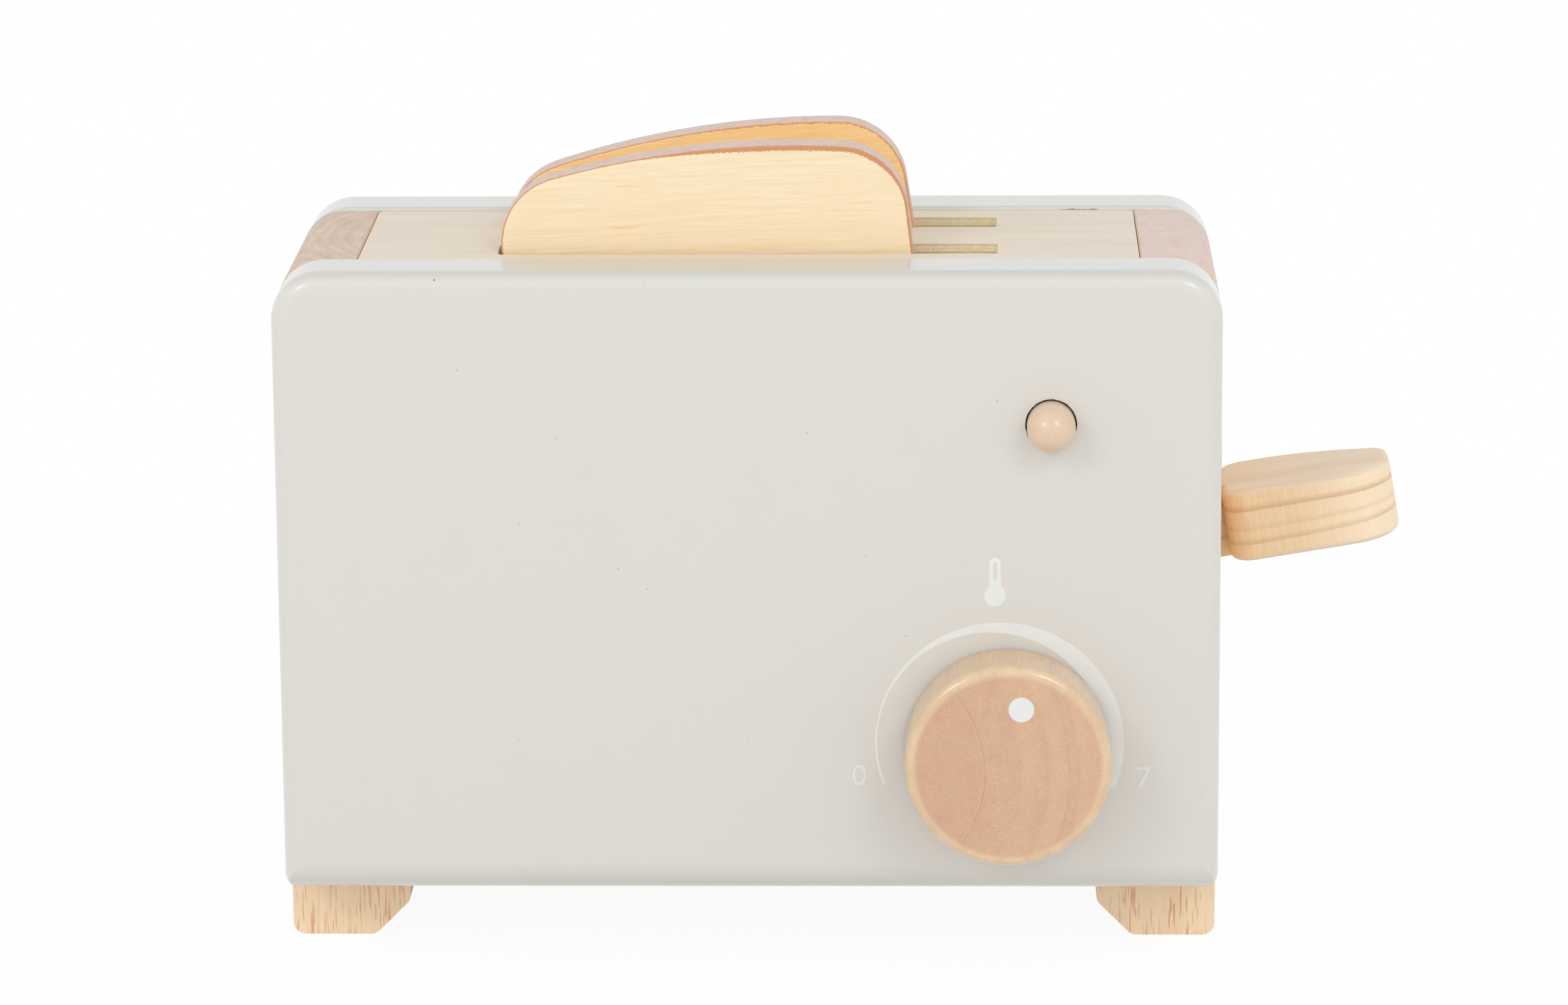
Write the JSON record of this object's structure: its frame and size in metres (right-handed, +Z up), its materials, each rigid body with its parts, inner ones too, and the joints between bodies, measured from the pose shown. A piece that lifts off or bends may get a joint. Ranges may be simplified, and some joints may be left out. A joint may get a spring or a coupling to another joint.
{
  "type": "toy toaster",
  "caption": "Wooden toy toaster with slotted top, slices of toast lifted by a rocking lever, a turning dial and a push button.",
  "frame": {"origin": "under the middle of the box around the whole toy, on the surface that the feet stand on", "axes": "+X to the right, towards the lever; +Y to the back, away from the dial; +Z up"},
  "size_m": [0.216, 0.0942, 0.1549],
  "materials": {
    "painted_board": "satin light grey paint on board",
    "end_wood": "clear matt, solid wood, end grain on top",
    "top_ply": "clear matt plywood",
    "dowel_wood": "bare turned wood",
    "lever_wood": "clear matt, banded growth rings",
    "toast_wood": "clear matt faces, brown painted edges",
    "knob_wood": "clear satin turned wood with a white dot",
    "peg_wood": "clear matt turned wood",
    "felt": "pressed felt",
    "screw_steel": "zinc plated",
    "spring_steel": "drawn wire"
  },
  "bodies": {
    "casing": {"front_panel": "painted_board", "back_panel": "painted_board", "left_end_board": "end_wood", "right_end_board": "end_wood", "top_board": "top_ply", "bottom_board": "top_ply", "front_dowels": "dowel_wood", "back_dowels": "dowel_wood", "lever_pivot_dowel": "dowel_wood", "lever_rest": "dowel_wood", "dial_felt": "felt", "button_housing": "dowel_wood", "housing_screws": "screw_steel", "button_spring": "spring_steel"},
    "lever": {"lever": "lever_wood", "toast_rack": "top_ply", "rack_screws": "screw_steel"},
    "front_toast": {"front_toast": "toast_wood"},
    "back_toast": {"back_toast": "toast_wood"},
    "dial": {"dial_knob": "knob_wood", "dial_shaft": "dowel_wood", "dial_collar": "dowel_wood", "dial_screw": "screw_steel"},
    "button": {"button_peg": "peg_wood", "button_ring": "dowel_wood"}
  },
  "joints": [
    {"name": "lever_swing", "type": "hinge", "parent": "casing", "child": "lever", "pos_m": [0.06051, 0.0071, 0.0759], "axis": [0, 1, 0], "range_deg": [0, 15]},
    {"name": "front_toast_lift", "type": "slide", "parent": "lever", "child": "front_toast", "axis": [-0.1106, 0, 0.9939], "range_m": [0, 0.07]},
    {"name": "back_toast_lift", "type": "slide", "parent": "lever", "child": "back_toast", "axis": [-0.1556, 0, 0.9878], "range_m": [0, 0.07]},
    {"name": "dial_turn", "type": "hinge", "parent": "casing", "child": "dial", "pos_m": [0.03151, -0.0329, 0.0421], "axis": [0, 1, 0], "continuous": true},
    {"name": "button_press", "type": "slide", "parent": "casing", "child": "button", "axis": [0, 1, 0], "range_m": [0, 0.005], "stiffness_N_per_m": 200, "springref_m": -0.003, "deforming": ["button_spring"]}
  ]
}
